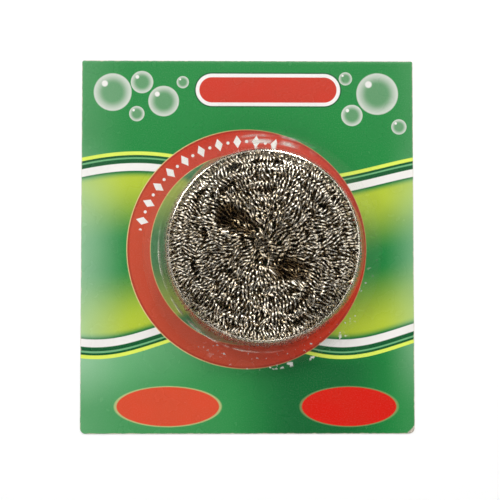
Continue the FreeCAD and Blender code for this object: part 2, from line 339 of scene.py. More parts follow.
@dataclass(frozen=True)
class PrintedBoard:
    """Coated board: a glossy print in front, raw board at its edges and behind, in mm."""

    half_width: float
    half_height: float
    thickness: float
    film_x: float
    film_y: float
    film_radius: float

    green: Colour = ink(22, 132, 58)
    deep_green: Colour = ink(0, 84, 40)
    pale_green: Colour = ink(112, 178, 124)
    edge_light_green: Colour = ink(168, 208, 172)
    lime: Colour = ink(182, 200, 52)
    lime_line: Colour = ink(222, 238, 92)
    white: Colour = ink(240, 236, 232)
    red: Colour = ink(200, 50, 28)
    dull_red: Colour = ink(198, 76, 50)
    lit_red: Colour = ink(236, 54, 20)
    dark_red: Colour = ink(120, 20, 10)
    line_yellow: Colour = ink(236, 214, 150)
    greyish_mauve: Colour = ink(110, 98, 102)
    torn: Colour = ink(226, 208, 186)
    board: Colour = ink(206, 198, 184)
    board_dark: Colour = ink(150, 140, 124)

    waves: tuple[Wave, ...] = (Wave(26.0, 5.0, 128.0, 3.7, 1), Wave(-33.0, 5.0, 96.0, 2.3, -1))
    wave_bands: Bands = (
        (Band(0.0, 2.2, 0.6, 0.6), deep_green), (Band(0.0, 1.5), white), (Band(2.4, 0.7), deep_green),
        (Band(3.5, 0.3), pale_green), (Band(4.3, 0.5), deep_green), (Band(5.4, 0.7), lime_line),
    )
    glow_rise: Fade = (1.5, 4.5)
    glow_fall: Fade = (4.5, 29.0, 0.95, 0.0)
    pale_edge: Fade = (0.0, 2.0)
    pale_across: Fade = (30.0, -60.0)
    pale_down: Fade = (28.0, 4.0, 0.35, 0.9)
    # Painted shadow under the ring's lower right
    shadow_left: Fade = (-10.0, 20.0)
    shadow_right: Fade = (62.0, 36.0)
    shadow_down: Fade = (0.0, 10.0, 0.0, 0.75)
    # Painted light: paler green along both side edges, less towards the top and the foot
    edge_light_left: Fade = (-44.0, -72.0, 0.0, 0.75)
    edge_light_right: Fade = (52.0, 72.0, 0.0, 0.525)
    edge_light_top: Fade = (46.0, 10.0, 0.22, 1.0)
    edge_light_foot: Fade = (-66.0, -38.0, 0.2, 1.0)

    ring_x: float = -0.4
    ring_y: float = -1.1
    disc: Fade = (37.5, 37.6, 1.0, 0.0)
    disc_greying: float = 0.34
    ring: Band = Band(42.2, 4.6)
    ring_rim: Band = Band(46.3, 0.4, 0.3, 0.4)
    ring_lines: tuple[Band, ...] = (Band(37.6, 0.18, share=0.6), Band(46.8, 0.18))
    line_across: Fade = (10.0, -30.0, 0.25, 0.75)
    faded_slant: float = 0.6
    faded: Fade = (10.0, -40.0, 0.0, 0.9)
    # Painted light on the ring's lower right
    light_across: Fade = (8.0, 34.0)
    light_down: Fade = (6.0, -14.0)
    motif_count: int = 36
    motif_half: float = 1.55
    motif_tall: float = 2.5
    motif_edge: Fade = (0.94, 1.06, 1.0, 0.0)
    motif_turns: Band = Band(math.radians(122.0), math.radians(48.0), 0.01)
    dot: Band = Band(0.0, 0.6)

    banner_x: float = 8.0
    banner_y: float = 61.5
    banner_half: float = 22.0
    banner_bands: Bands = ((Band(0.0, 6.9), deep_green), (Band(0.0, 6.4), white), (Band(0.0, 5.0), red))
    ovals: tuple[Oval, ...] = (
        Oval(-31.0, -62.5, 20.0, 7.6, ink(215, 74, 44), 0.5),
        Oval(39.5, -62.5, 18.5, 7.6, ink(212, 20, 0), 0.2),
    )
    oval_line: Fade = (0.2, 0.5, 1.0, 0.0)
    oval_edge: Fade = (-0.15, 0.1, 1.0, 0.0)
    bubbles: tuple[Bubble, ...] = (
        Bubble(-53.0, 60.5, 7.4), Bubble(-41.5, 64.5, 4.4), Bubble(-33.0, 57.0, 6.0),
        Bubble(-43.5, 52.0, 3.0), Bubble(-25.5, 64.5, 2.4), Bubble(51.0, 60.0, 8.2),
        Bubble(41.0, 51.5, 4.2), Bubble(59.5, 47.0, 3.0), Bubble(38.5, 66.0, 2.6),
    )
    # A bubble's inside, haze and glint, as shares of its radius
    bubble_inside: Band = Band(0.0, 1.0, 0.03)
    bubble_haze: Fade = (0.45, 1.05, 0.12, 0.72)
    glint_x: float = -0.42
    glint_y: float = 0.46
    glint_squared: Fade = (0.012, 0.04, 0.95, 0.0)

    pull_turns: Band = Band(math.radians(-76.0), math.radians(36.0))
    pull_strip: Band = Band(-0.4, 0.9, 0.5)
    pull_patches: Fade = (0.58, 0.62, 0.0, 0.9)
    cloud_from: float = 0.35
    cloud: float = 0.22
    grain_from: float = 0.45
    grain: float = 0.1
    scuff_ragged: float = 0.9
    scuff: Fade = (0.5, 0.62, 0.7, 0.0)
    tear_ragged: float = 2.4
    tear: Fade = (4.1, 4.3, 1.0, 0.0)
    fibre: Fade = (0.35, 0.65)
    front: Fade = (0.72, 0.86)

    def print_ground(self, page: Page) -> None:
        """Print a lime glow on the green ground, along the inside of each wave.

        The ground is pale under the lower wave towards the left. It has painted shadow under
        the ring's lower right and painted light along both side edges.

        Args:
            page: the print so far.
        """
        for wave in self.waves:
            inside = 0 - wave.away(page)
            page.lay(inside.ease(*self.glow_rise) * inside.ease(*self.glow_fall), self.lime)
        under = self.waves[-1].away(page)
        pale = under.ease(*self.pale_edge) * page.x.ease(*self.pale_across) * under.ease(*self.pale_down)
        page.lay(pale, self.pale_green)
        # Painted shadow: deeper green under the ring's lower right
        deep = page.x.ease(*self.shadow_left) * page.x.ease(*self.shadow_right) * under.ease(*self.shadow_down)
        page.lay(deep, self.deep_green)
        # Painted light: paler along both side edges
        whitening = page.x.ease(*self.edge_light_left) + page.x.ease(*self.edge_light_right)
        page.lay(whitening * page.y.ease(*self.edge_light_top) * page.y.ease(*self.edge_light_foot), self.edge_light_green)

    def print_ring(self, page: Page) -> None:
        """Print the red ring, faded at the upper left and brighter at the lower right with painted light,
        and its outlines.

        Args:
            page: the print so far.
        """
        radius, _ = page.round(self.ring_x, self.ring_y)
        faded = (page.x + page.y * self.faded_slant).ease(*self.faded)
        # Painted light: a brighter, purer red on the ring's lower right
        painted_light = page.x.ease(*self.light_across) * page.y.ease(*self.light_down)
        red = page.shader.mix(faded, self.red, self.dull_red)
        red = page.shader.mix(painted_light, red, self.lit_red)
        page.lay_bands(radius, ((self.ring, red), (self.ring_rim, self.dark_red)))
        for line in self.ring_lines:
            page.lay(line.on(radius) * page.x.ease(*self.line_across), self.line_yellow)

    def print_motifs(self, page: Page) -> None:
        """Print lozenges and dots in turn on the ring's upper left.

        A lozenge is where the shares of its half width and half height add up to less than
        one. A dot stands halfway between two lozenges.

        Args:
            page: the print so far.
        """
        radius, turn = page.round(self.ring_x, self.ring_y)
        upper_left = self.motif_turns.on(turn)
        out = radius - self.ring.middle
        place = turn * (self.motif_count / (2 * math.pi)) + self.motif_count
        spacing = 2 * math.pi * self.ring.middle / self.motif_count
        along, between = ((page.shader.math("FRACT", place + shift) - 0.5) * spacing for shift in (0.0, 0.5))
        lozenge = (abs(along) / self.motif_half + abs(out) / self.motif_tall).ease(*self.motif_edge)
        page.lay(lozenge * upper_left, self.white)
        page.lay(self.dot.on(page.shader.length(between, out)) * upper_left, self.white)

    def print_banner(self, page: Page) -> None:
        """Print a bare red banner with round ends, a white border and a dark line round it."""
        past = page.shader.math("MAXIMUM", abs(page.x - self.banner_x) - self.banner_half, 0.0)
        page.lay_bands(page.shader.length(past, page.y - self.banner_y), self.banner_bands)

    def print_bubble(self, page: Page, bubble: Bubble) -> None:
        """Print one soap bubble: a bright rim, a haze towards it and a glint.

        Args:
            page: the print so far.
            bubble: the bubble's place and size.
        """
        right = (page.x - bubble.x) / bubble.radius
        up = (page.y - bubble.y) / bubble.radius
        away = page.shader.length(right, up)
        page.lay(self.bubble_inside.on(away) * away.ease(*self.bubble_haze), self.white)
        across = right - self.glint_x
        above = up - self.glint_y
        page.lay((across * across + above * above).ease(*self.glint_squared), self.white)

    def print_oval(self, page: Page, oval: Oval) -> None:
        """Print one bare red oval with a thin outline.

        Args:
            page: the print so far.
            oval: the oval's place, size and red.
        """
        across = (page.x - oval.x) / oval.half_width
        along = (page.y - oval.y) / oval.half_height
        away = (page.shader.length(across, along) - 1) * oval.half_height
        page.lay(away.ease(*self.oval_line) * oval.outline, self.line_yellow)
        page.lay(away.ease(*self.oval_edge), oval.red)

    def pull_fibres(self, page: Page) -> None:
        """Show white fibres where the film's edge has pulled at the print, lower right.

        Args:
            page: the print so far.
        """
        radius, turn = page.round(self.film_x, self.film_y)
        patches = page.shader.noise(size=2.6, detail=4.0).ease(*self.pull_patches)
        strip = self.pull_strip.on(radius - self.film_radius)
        page.lay(strip * self.pull_turns.on(turn) * patches, self.white)

    def print_all(self, page: Page) -> None:
        """Print everything in order. The disc inside the ring has the bare ground, greyed a little.

        Args:
            page: the print so far.
        """
        self.print_ground(page)
        disc_colour = page.shader.mix(self.disc_greying, page.colour, self.greyish_mauve)
        for wave in self.waves:
            page.lay_bands(wave.away(page), self.wave_bands)
        radius, _ = page.round(self.ring_x, self.ring_y)
        page.lay(radius.ease(*self.disc), disc_colour)
        for oval in self.ovals:
            self.print_oval(page, oval)
        self.print_ring(page)
        self.print_motifs(page)
        self.print_banner(page)
        for bubble in self.bubbles:
            self.print_bubble(page, bubble)
        self.pull_fibres(page)

    def wear(self, page: Page) -> Value:
        """Scuff the card's edges and tear its lower right corner.

        A scuff is where the distance to the nearest edge and a ragged noise add up to little,
        and the torn corner is where the distances to its two edges and the noise do.

        Args:
            page: the print so far.

        Returns:
            The torn corner's mask.
        """
        ragged = page.shader.noise(size=1.6, detail=4.0)
        side = self.half_width - abs(page.x)
        end = self.half_height - abs(page.y)
        margin = page.shader.math("MINIMUM", side, end)
        page.lay((margin + ragged * self.scuff_ragged).ease(*self.scuff), self.torn)
        corner = (self.half_width - page.x) + (self.half_height + page.y) + ragged * self.tear_ragged
        tear = corner.ease(*self.tear)
        page.lay(tear, self.torn)
        return tear

    def make(self) -> Material:
        """Put the print, the wear and the raw board together.

        The print shows where the board is at its full height.

        Returns:
            The card's material.
        """
        shader = Shader(bpy.data.materials.new("printed_board"))
        x, y, z = shader.place()
        page = Page(shader, x, y, self.green)
        self.print_all(page)
        grain = shader.noise(size=0.5, detail=3.0)
        cloud = shader.noise(size=14.0, detail=3.0)
        page.lay((cloud - self.cloud_from) * self.cloud, self.deep_green)
        page.lay((grain - self.grain_from) * self.grain, self.white)
        tear = self.wear(page)
        fibre = shader.noise(size=0.7, detail=4.0, stretch=(1.0, 0.35, 1.0))
        raw = shader.mix(fibre.ease(*self.fibre), self.board_dark, self.board)
        front = (z / self.thickness).ease(*self.front)
        bare = 1 - front * (1 - tear)
        return shader.close(shader.principled({
            "Base Color": shader.mix(front, raw, page.colour),
            "Roughness": 0.24 + 0.06 * cloud + 0.5 * bare,
            "Coat Weight": 0.35 * (1 - bare),
            "Coat Roughness": 0.12,
            "Normal": shader.bump(grain + fibre * bare, depth=0.03, strength=0.25),
        }))


@dataclass(frozen=True)
class SealLacquer:
    """Clear heat-seal lacquer, milky in flecks where it has not taken, with a painted reflection at its top,
    in mm.
    """

    axis_x: float
    axis_y: float
    haze: float = 0.004
    flecks: Fade = (0.66, 0.7, 0.0, 0.8)
    fleck_slant: float = 0.35
    fleck_down: Fade = (10.0, 52.0)
    streaks: Fade = (0.35, 0.65, 0.0, 0.5)
    # Painted reflection: two milky curved bands over the ring's top
    reflection_arcs: tuple[Band, ...] = (Band(42.3, 0.7, 0.6), Band(44.6, 0.45, 0.4, 0.5))
    reflection_up: Fade = (20.0, 30.0)
    reflection_across: Band = Band(5.0, 11.0, 6.0)
    fleck_and_reflection_white: Colour = ink(244, 242, 236)
    fleck_and_reflection_cream: Colour = (0.9, 0.88, 0.84)

    def make(self) -> Material:
        """Show flecks of noise towards the lower right of the ring, and two milky curved bands at its top,
        which are a painted reflection.

        Returns:
            The lacquer's material.
        """
        shader = Shader(bpy.data.materials.new("seal_lacquer"))
        x, y, _ = shader.place()
        right, up = x - self.axis_x, y - self.axis_y
        radius = shader.length(right, up)
        flecks = shader.noise(size=1.3, detail=3.0).ease(*self.flecks)
        flecks = flecks * (right * self.fleck_slant - up).ease(*self.fleck_down)
        # Painted reflection: two milky curved bands over the ring's top
        reflection_arcs = self.reflection_arcs[0].on(radius) + self.reflection_arcs[1].on(radius)
        streaks = shader.noise(size=7.0).ease(*self.streaks)
        cloud = streaks * reflection_arcs * up.ease(*self.reflection_up) * self.reflection_across.on(right)
        whitening = shader.principled({
            "Base Color": shader.mix(shader.noise(size=0.6), self.fleck_and_reflection_white, self.fleck_and_reflection_cream),
            "Roughness": 0.35,
        })
        return shader.close(shader.over_clear(self.haze + cloud + flecks, whitening))


@dataclass(frozen=True)
class ClearFilm:
    """Glossy clear film, which mirrors more the more it is seen from the side, in mm."""

    seal_height: float
    axis_x: float
    axis_y: float
    straight: float = 0.035
    sealed: float = 0.0035
    grazing: float = 0.42
    shoulder: float = 0.10
    tint: Colour = (0.995, 1.0, 0.995)
    cream: Colour = (0.95, 0.88, 0.76)
    roughness: float = 0.03
    foot_roughness: float = 0.4
    foot_height: float = 2.5
    foot_gleam: float = 0.42
    gleam_place: Fade = (28.0, 56.0)
    streaks: Fade = (0.3, 0.7)
    wall_haze: float = 0.3
    haze_rise: Fade = (9.0, 19.0)
    haze_fall: Fade = (23.4, 22.8)

    def make(self) -> Material:
        """Mix clear and mirror by Schlick's rule: a base share plus the rest times facing to the fifth.

        Where the film is sealed down, lacquer takes most of its mirror away, and its foot is
        duller than its dome. The wall, which is drawn thin, is hazy in its upper part. The
        shoulder mirrors more than the rest, and so do streaks along the foot's bend at the
        lower left.

        Returns:
            The film's material.
        """
        shader = Shader(bpy.data.materials.new("clear_film"))
        facing = Value(shader, shader.node("ShaderNodeLayerWeight", None, {"Blend": 0.5}).outputs["Facing"])
        x, y, z = shader.place()
        rise = (self.seal_height, self.seal_height + self.foot_height)
        share = z.ease(*rise, self.sealed, self.straight) + self.grazing * facing ** 5
        share = share + self.shoulder * shader.attribute("shoulder")
        lower_left = (self.axis_x - x + self.axis_y - y).ease(*self.gleam_place)
        streaks = shader.noise(size=5.0).ease(*self.streaks)
        share = share + self.foot_gleam * shader.attribute("foot") * lower_left * streaks
        drawn = z.ease(*self.haze_rise) * z.ease(*self.haze_fall)
        mirror = shader.principled({
            "Base Color": self.cream,
            "Metallic": 1 - self.wall_haze * drawn,
            "Roughness": z.ease(*rise, self.foot_roughness, self.roughness) + 0.02 * shader.noise(size=3.0),
            "Normal": shader.bump(shader.noise(size=30.0, detail=0.0), depth=0.2, strength=0.06),
        })
        return shader.close(shader.over_clear(share, mirror, self.tint))


@dataclass(frozen=True)
class SteelWire:
    """Bright rolled steel, with painted shade that turns it browner and then darker the deeper it lies in
    the pad.
    """

    name: str
    # Lit steel and, for painted shade, its half-shaded and shadowed copies
    bright: Colour = (0.94, 0.87, 0.77)
    half_shaded_brown: Colour = (0.46, 0.35, 0.21)
    painted_shadow_steel: Colour = (0.030, 0.017, 0.006)
    by_depth: bool = True
    marks: float = 0.15
    brown_shades: Fade = (0.0, 0.5)
    bright_shades: Fade = (0.35, 0.95)

    def make(self) -> Material:
        """Blend shadowed, half-shaded and bright steel by the wire's painted shade, with fine rolling marks.

        Returns:
            The steel's material.
        """
        shader = Shader(bpy.data.materials.new(self.name))
        fine = shader.noise(size=0.35)
        shade = 1 - self.marks + self.marks * fine
        if self.by_depth:
            # The stored shade is a random tone per curl times painted shade
            shade = shader.attribute("shade") * shade
        low = shader.mix(shade.ease(*self.brown_shades), self.painted_shadow_steel, self.half_shaded_brown)
        return shader.close(shader.principled({
            "Base Color": shader.mix(shade.ease(*self.bright_shades), low, self.bright),
            "Metallic": 1.0,
            "Roughness": 0.2 + 0.12 * fine,
        }))


@dataclass(frozen=True)
class PaleFloor:
    """A plain white studio floor, which glows far from the pack as a lit sweep does, in mm."""

    colour: Colour = (0.97, 0.97, 0.965)
    glow: Colour = (0.88, 0.88, 0.88)
    unlit: Colour = (0.0, 0.0, 0.0)
    glow_reach: Fade = (250.0, 1300.0)
    cloud: float = 0.05

    def make(self) -> Material:
        """Give a white, slightly glossy surface that glows more the farther out it is.

        Returns:
            The floor's material.
        """
        shader = Shader(bpy.data.materials.new("studio_floor"))
        x, y, _ = shader.place()
        far = shader.length(x, y).ease(*self.glow_reach)
        return shader.close(shader.principled({
            "Base Color": shader.mix(shader.noise(size=60.0) * self.cloud, self.colour, self.glow),
            "Roughness": 0.4,
            "Emission Color": shader.mix(far, self.unlit, self.glow),
            "Emission Strength": 1.0,
        }))


def grid_faces(rows: int, columns: int, ring: bool) -> Array:
    """Give the quads between neighbouring rows and columns of a grid of points.

    A quad's outside is where a step along a row and one to the next row turn clockwise.

    Args:
        rows: how many rows the grid has.
        columns: how many points a row has.
        ring: whether each row closes on itself.

    Returns:
        One row of four point numbers for each quad.
    """
    across = columns if ring else columns - 1
    row, column = np.meshgrid(np.arange(rows - 1), np.arange(across), indexing="ij")
    following = (column + 1) % columns
    quads = np.stack([(row + 1) * columns + column, (row + 1) * columns + following,
                      row * columns + following, row * columns + column], axis=-1)
    return quads.reshape(-1, 4)


def make_piece(name: str, points: Array, face_sets: list[Array], crease: float = 40.0) -> Piece:
    """Make an object of smooth surfaces with sharp creases.

    Args:
        name: the piece's name.
        points: its points in metres.
        face_sets: sets of faces that point outwards, each with one number of corners.
        crease: the angle in degrees past which an edge is sharp.

    Returns:
        The new object, at the origin.
    """
    mesh = bpy.data.meshes.new(name)
    mesh.from_pydata(points.tolist(), [], [face for group in face_sets for face in group.tolist()])
    mesh.polygons.foreach_set("use_smooth", np.ones(len(mesh.polygons), dtype=bool))
    mesh.set_sharp_from_angle(angle=math.radians(crease))
    mesh.update()
    piece = bpy.data.objects.new(name, mesh)
    bpy.context.scene.collection.objects.link(piece)
    return piece


def store(piece: Piece, name: str, numbers: Array) -> None:
    """Store a number on each of a piece's points under a name."""
    attribute = piece.data.attributes.new(name, "FLOAT", "POINT")
    attribute.data.foreach_set("value", numbers)


def dress(piece: Piece, material: Material) -> None:
    """Give a piece one material in place of those that it has."""
    piece.data.materials.clear()
    piece.data.materials.append(material)


def seat(piece: Piece, body: Body, slot: Slot, *nodes: str) -> None:
    """Tie a piece to the body it rides on and hide the nodes it stands for.

    Args:
        piece: the new piece.
        body: the body that carries it.
        slot: not used.
        nodes: the nodes that it replaces.
    """
    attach(piece, body.value)
    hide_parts(*nodes)
    LOG.info("%s: %d faces, rides on %s", piece.name, len(piece.data.polygons), body.value)


def node_box(node: str) -> tuple[Array, Array]:
    """Give a node's lowest and highest corner in millimetres."""
    low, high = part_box(node)
    return np.array(low) / MM, np.array(high) / MM


def arc(centre_x: float, centre_y: float, radius: float, turns: Array) -> Array:
    """Give a circle's points at some turns in radians."""
    return np.stack([centre_x + radius * np.cos(turns), centre_y + radius * np.sin(turns)], axis=1)


@dataclass(frozen=True)
class Ripple:
    """A ripple round the film: its size in mm, its waves in a turn and its phase."""

    size: float
    waves: int
    phase: float

    def at(self, angle: Array) -> Array:
        """Give the size times the sine of the waves' turn."""
        return self.size * np.sin(self.waves * angle + self.phase)


@dataclass
class Blister:
    """The clear formed film: a flange, a drafted wall and a low crown, in mm."""

    film: float = 0.4
    flange_width: float = 6.5
    draft: float = math.radians(8.6)
    foot: float = 0.8
    shoulder: float = 1.4
    crown: float = 1.0
    clearance: float = 0.03
    segments: int = 224
    steps: int = 12
    flange_steps: int = 5
    sways: tuple[Ripple, ...] = (Ripple(0.10, 2, 0.6), Ripple(0.06, 5, 2.0), Ripple(0.03, 11, 0.0))
    sway_inset: float = 0.1
    sway_power: int = 4
    dip: Ripple = Ripple(0.24, 3, 1.1)
    dip_power: int = 6
    lift: Ripple = Ripple(0.10, 7, 0.4)
    free_edge: float = 1.2
    axis: Array = field(init=False)
    seat_height: float = field(init=False)
    flange_radius: float = field(init=False)
    top: float = field(init=False)

    def __post_init__(self) -> None:
        """Read the film's place and reach from the frame."""
        low, high = node_box("blister")
        self.axis = (low + high)[:2] / 2
        self.seat_height = low[2] + self.clearance
        self.flange_radius = (high - low)[0] / 2
        self.top = high[2]

    def side(self, offset: float) -> Array:
        """Give one face of the film in section, from the axis out to the flange's edge.

        A straight wall between two rounded corners, a crown that falls with the square of
        the radius, and a level flange. The offset is how far the face lies outside the
        film's inner face.

        Args:
            offset: 0 for the inner face, the film's thickness for the outer one.

        Returns:
            Rows of radius, height above the table, and how far into the bends of the shoulder
            and the foot each point lies.
        """
        slope = self.draft
        quarter = math.pi / 2
        base = self.flange_radius - self.flange_width - self.film + offset
        floor = self.seat_height + offset
        rim = self.top - self.crown - self.film + offset
        front = base - (rim - floor) * math.tan(slope)
        inner = self.foot + self.film - offset
        turns = np.linspace(-quarter, slope - math.pi, self.steps)
        foot = arc(base + inner * math.tan((quarter - slope) / 2), floor + inner, inner, turns)
        outer = self.shoulder - self.film + offset
        bend = quarter - slope - math.atan2(2 * self.crown, front)
        reach = outer * math.tan(bend / 2)
        shoulder = arc(front + reach * math.sin(slope) - outer * math.cos(slope),
                       rim - reach * math.cos(slope) - outer * math.sin(slope),
                       outer, np.linspace(slope, slope + bend, self.steps))
        share = np.linspace(1.0, 0.0, 2 * self.steps)[1:]
        crown_top = self.top - self.film + offset
        end_radius, end_height = shoulder[-1]
        crown = np.stack([end_radius * share, crown_top - (crown_top - end_height) * share ** 2], axis=1)
        wall = np.linspace(foot[-1], shoulder[0], self.steps)[1:-1]
        flange = np.linspace((self.flange_radius, floor), foot[0], self.flange_steps + 1)[:-1]
        into = np.sin(np.linspace(0.0, math.pi, self.steps))
        runs = ((flange, 0.0, 0.0), (foot, 0.0, into), (wall, 0.0, 0.0), (shoulder, np.sqrt(into), 0.0),
                (crown, 0.0, 0.0))
        rows = [np.stack(np.broadcast_arrays(*run.T, in_shoulder, in_foot), axis=1)
                for run, in_shoulder, in_foot in runs]
        return np.concatenate(rows)[::-1]

    def room(self, height: Array) -> Array:
        """Give the inner radius of the dome at each of some heights."""
        inner = self.side(0.0)
        return np.interp(-height, -inner[:, 1], inner[:, 0])

    def build(self) -> None:
        """Turn the film's section about its axis, let it wander a little, and dress it.

        The wander is a few ripples round the axis, of tenths of a millimetre. They sway the
        wall in and out, more with its height until a power of the height ends it at the top,
        dip the crown by another power of the height, and lift the flange's free edge.
        """
        section = np.concatenate([self.side(self.film), self.side(0.0)[::-1]])
        angle = np.linspace(0.0, 2 * math.pi, self.segments, endpoint=False)
        radius = section[1:-1, 0][:, None]
        height = section[1:-1, 1][:, None]
        up = np.clip((height - self.seat_height - self.film) / (self.top - self.seat_height), 0.0, 1.0)
        out = np.clip(radius / self.flange_radius, 0.0, 1.0)
        free = np.clip((radius - self.flange_radius + self.free_edge) / self.free_edge, 0.0, 1.0)
        sway = sum(ripple.at(angle) for ripple in self.sways) - self.sway_inset
        dip = (self.dip.at(angle) - self.dip.size) * out * (1 - out)
        lift = (self.lift.at(angle) + self.lift.size) * free
        moved_r = radius + sway * up * out * (1 - up ** self.sway_power)
        moved_z = height + dip * up ** self.dip_power + lift
        ring = np.stack([self.axis[0] + moved_r * np.cos(angle),
                         self.axis[1] + moved_r * np.sin(angle), moved_z], axis=-1)
        poles = np.array([[*self.axis, section[0, 1]], [*self.axis, section[-1, 1]]])
        points = np.concatenate([ring.reshape(-1, 3), poles])
        rows = len(section) - 2
        faces = grid_faces(rows, self.segments, True)
        first = np.arange(self.segments)
        following = np.roll(first, -1)
        last = (rows - 1) * self.segments
        count = rows * self.segments
        caps = np.concatenate([
            np.stack([np.full_like(first, count), first, following], axis=-1),
            np.stack([np.full_like(first, count + 1), following + last, first + last], axis=-1)])
        piece = make_piece("clear_blister", points * MM, [faces, caps])
        for name, bend in (("shoulder", section[1:-1, 2]), ("foot", section[1:-1, 3])):
            store(piece, name, np.append(np.repeat(bend, self.segments), [0.0, 0.0]))
        dress(piece, ClearFilm(self.seat_height + self.film, *self.axis).make())
        seat(piece, Body.BLISTER, Slot.FILM, "blister")

    def dress_seal(self) -> None:
        """Give the lacquer ring of the frame its finish."""
        dress(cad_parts["seal_ring"], SealLacquer(*self.axis).make())
        LOG.info("seal_ring: kept, dressed")


@dataclass
class Card:
    """The board card, a thin closed sheet with rubbed corners, in mm."""

    top_corner: float = 0.8
    bottom_corner: float = 2.2
    lines_across: int = 110
    lines_up: int = 120
    crowding: float = 0.25
    edge_drop: float = 0.07
    edge_reach: float = 0.25
    tear_depth: float = 0.16
    tear_reach: float = 3.3
    tear_slope: float = 0.6
    tear_ragged: float = 0.5
    tear_waves: tuple[float, float] = (2.7, 3.1)
    clearance: float = 0.03

    def outline(self, halves: Array) -> Array:
        """Spread a grid over the card, closer towards its edges, and round its corners.

        Each line is at a share of the half size: one plus the crowding times an even share,
        less the crowding times its cube. Within a corner's square a point moves along its ray
        from the corner's centre, from the square's edge to the circle's.

        Args:
            halves: half the card's width and half its height.

        Returns:
            Rows of places across and up.
        """
        shares = [np.linspace(-1.0, 1.0, lines) for lines in (self.lines_across, self.lines_up)]
        crowded = [(1 + self.crowding) * share - self.crowding * share ** 3 for share in shares]
        grid = np.stack(np.meshgrid(*crowded), axis=-1) * halves
        radius = np.where(grid[..., 1:] > 0, self.top_corner, self.bottom_corner)
        beyond = np.maximum(np.abs(grid) - (halves - radius), 0.0)
        ray = np.linalg.norm(beyond, axis=-1, keepdims=True)
        square = beyond.max(axis=-1, keepdims=True)
        pull = np.where(ray > 0, square / np.maximum(ray, 1e-9), 1.0)
        return np.sign(grid) * (np.abs(grid) - beyond * (1 - pull))

    def build(self, blister: Blister) -> None:
        """Close a front and a back grid into one sheet, and dress it.

        The front drops at the cut edge, as an exponential of the distance to it, and by a
        ply where the lower right corner is torn along a ragged line.

        Args:
            blister: the film, whose edge has pulled at the print.
        """
        low, high = node_box("backing_card")
        halves = (high - low)[:2] / 2
        thickness = (high - low)[2]
        grid = self.outline(halves)
        margin = (halves - np.abs(grid)).min(axis=-1)
        wave_x, wave_y = np.moveaxis(self.tear_waves * grid, -1, 0)
        ragged = self.tear_ragged * np.sin(wave_x) * np.cos(wave_y)
        corner = (halves + grid * (-1, 1)).sum(axis=-1) + ragged
        front = thickness - self.clearance - self.edge_drop * np.exp(-margin / self.edge_reach)
        front -= self.tear_depth * np.clip((self.tear_reach - corner) / self.tear_slope, 0.0, 1.0)
        points = np.concatenate([np.dstack([grid, height]).reshape(-1, 3)
                                 for height in (front, np.zeros_like(front))])
        rows, columns = front.shape
        faces = grid_faces(rows, columns, False)
        count = rows * columns
        number = np.arange(count).reshape(rows, columns)
        loop = np.concatenate([number[0, :-1], number[:-1, -1], number[-1, :0:-1], number[:0:-1, 0]])
        following = np.roll(loop, -1)
        rim = np.stack([following, loop, loop + count, following + count], axis=-1)
        piece = make_piece("printed_card", points * MM, [faces[:, ::-1], faces + count, rim])
        finish = PrintedBoard(*halves, thickness, *blister.axis, blister.flange_radius)
        dress(piece, finish.make())
        seat(piece, Body.CARD, Slot.BOARD, "backing_card")


def wander(places: Array, random: Random, size: float, shortest: float, longest: float,
           sines: int = 6) -> Array:
    """Give a smooth random wander along a line: the sum of some sines of random lengths and phases.

    Args:
        places: distances along the line.
        random: the source of the lengths and phases.
        size: the wander's usual size.
        shortest: the shortest wave.
        longest: the longest wave.
        sines: how many sines it has.

    Returns:
        The wander at each place.
    """
    lengths = random.uniform(shortest, longest, sines)
    phases = random.uniform(0.0, 2 * math.pi, sines)
    waves = np.sin(2 * math.pi * places[:, None] / lengths + phases)
    return size / math.sqrt(sines / 2) * waves.sum(axis=1)


@dataclass(frozen=True)
class Hollow:
    """A bell-shaped hollow in the pad's front: its place from the pad's middle and its size, in mm."""

    x: float
    y: float
    depth: float
    spread: float

    def at(self, x: Array, y: Array) -> Array:
        """Give the depth times a bell of the distance from the hollow's middle."""
        return self.depth * np.exp(-((x - self.x) ** 2 + (y - self.y) ** 2) / (2 * self.spread ** 2))


@dataclass(frozen=True)
class Wire:
    """One flat wire of a layer: where its curls run beside and above the spiral in mm, and their hand."""

    aside: float
    above: float
    hand: int


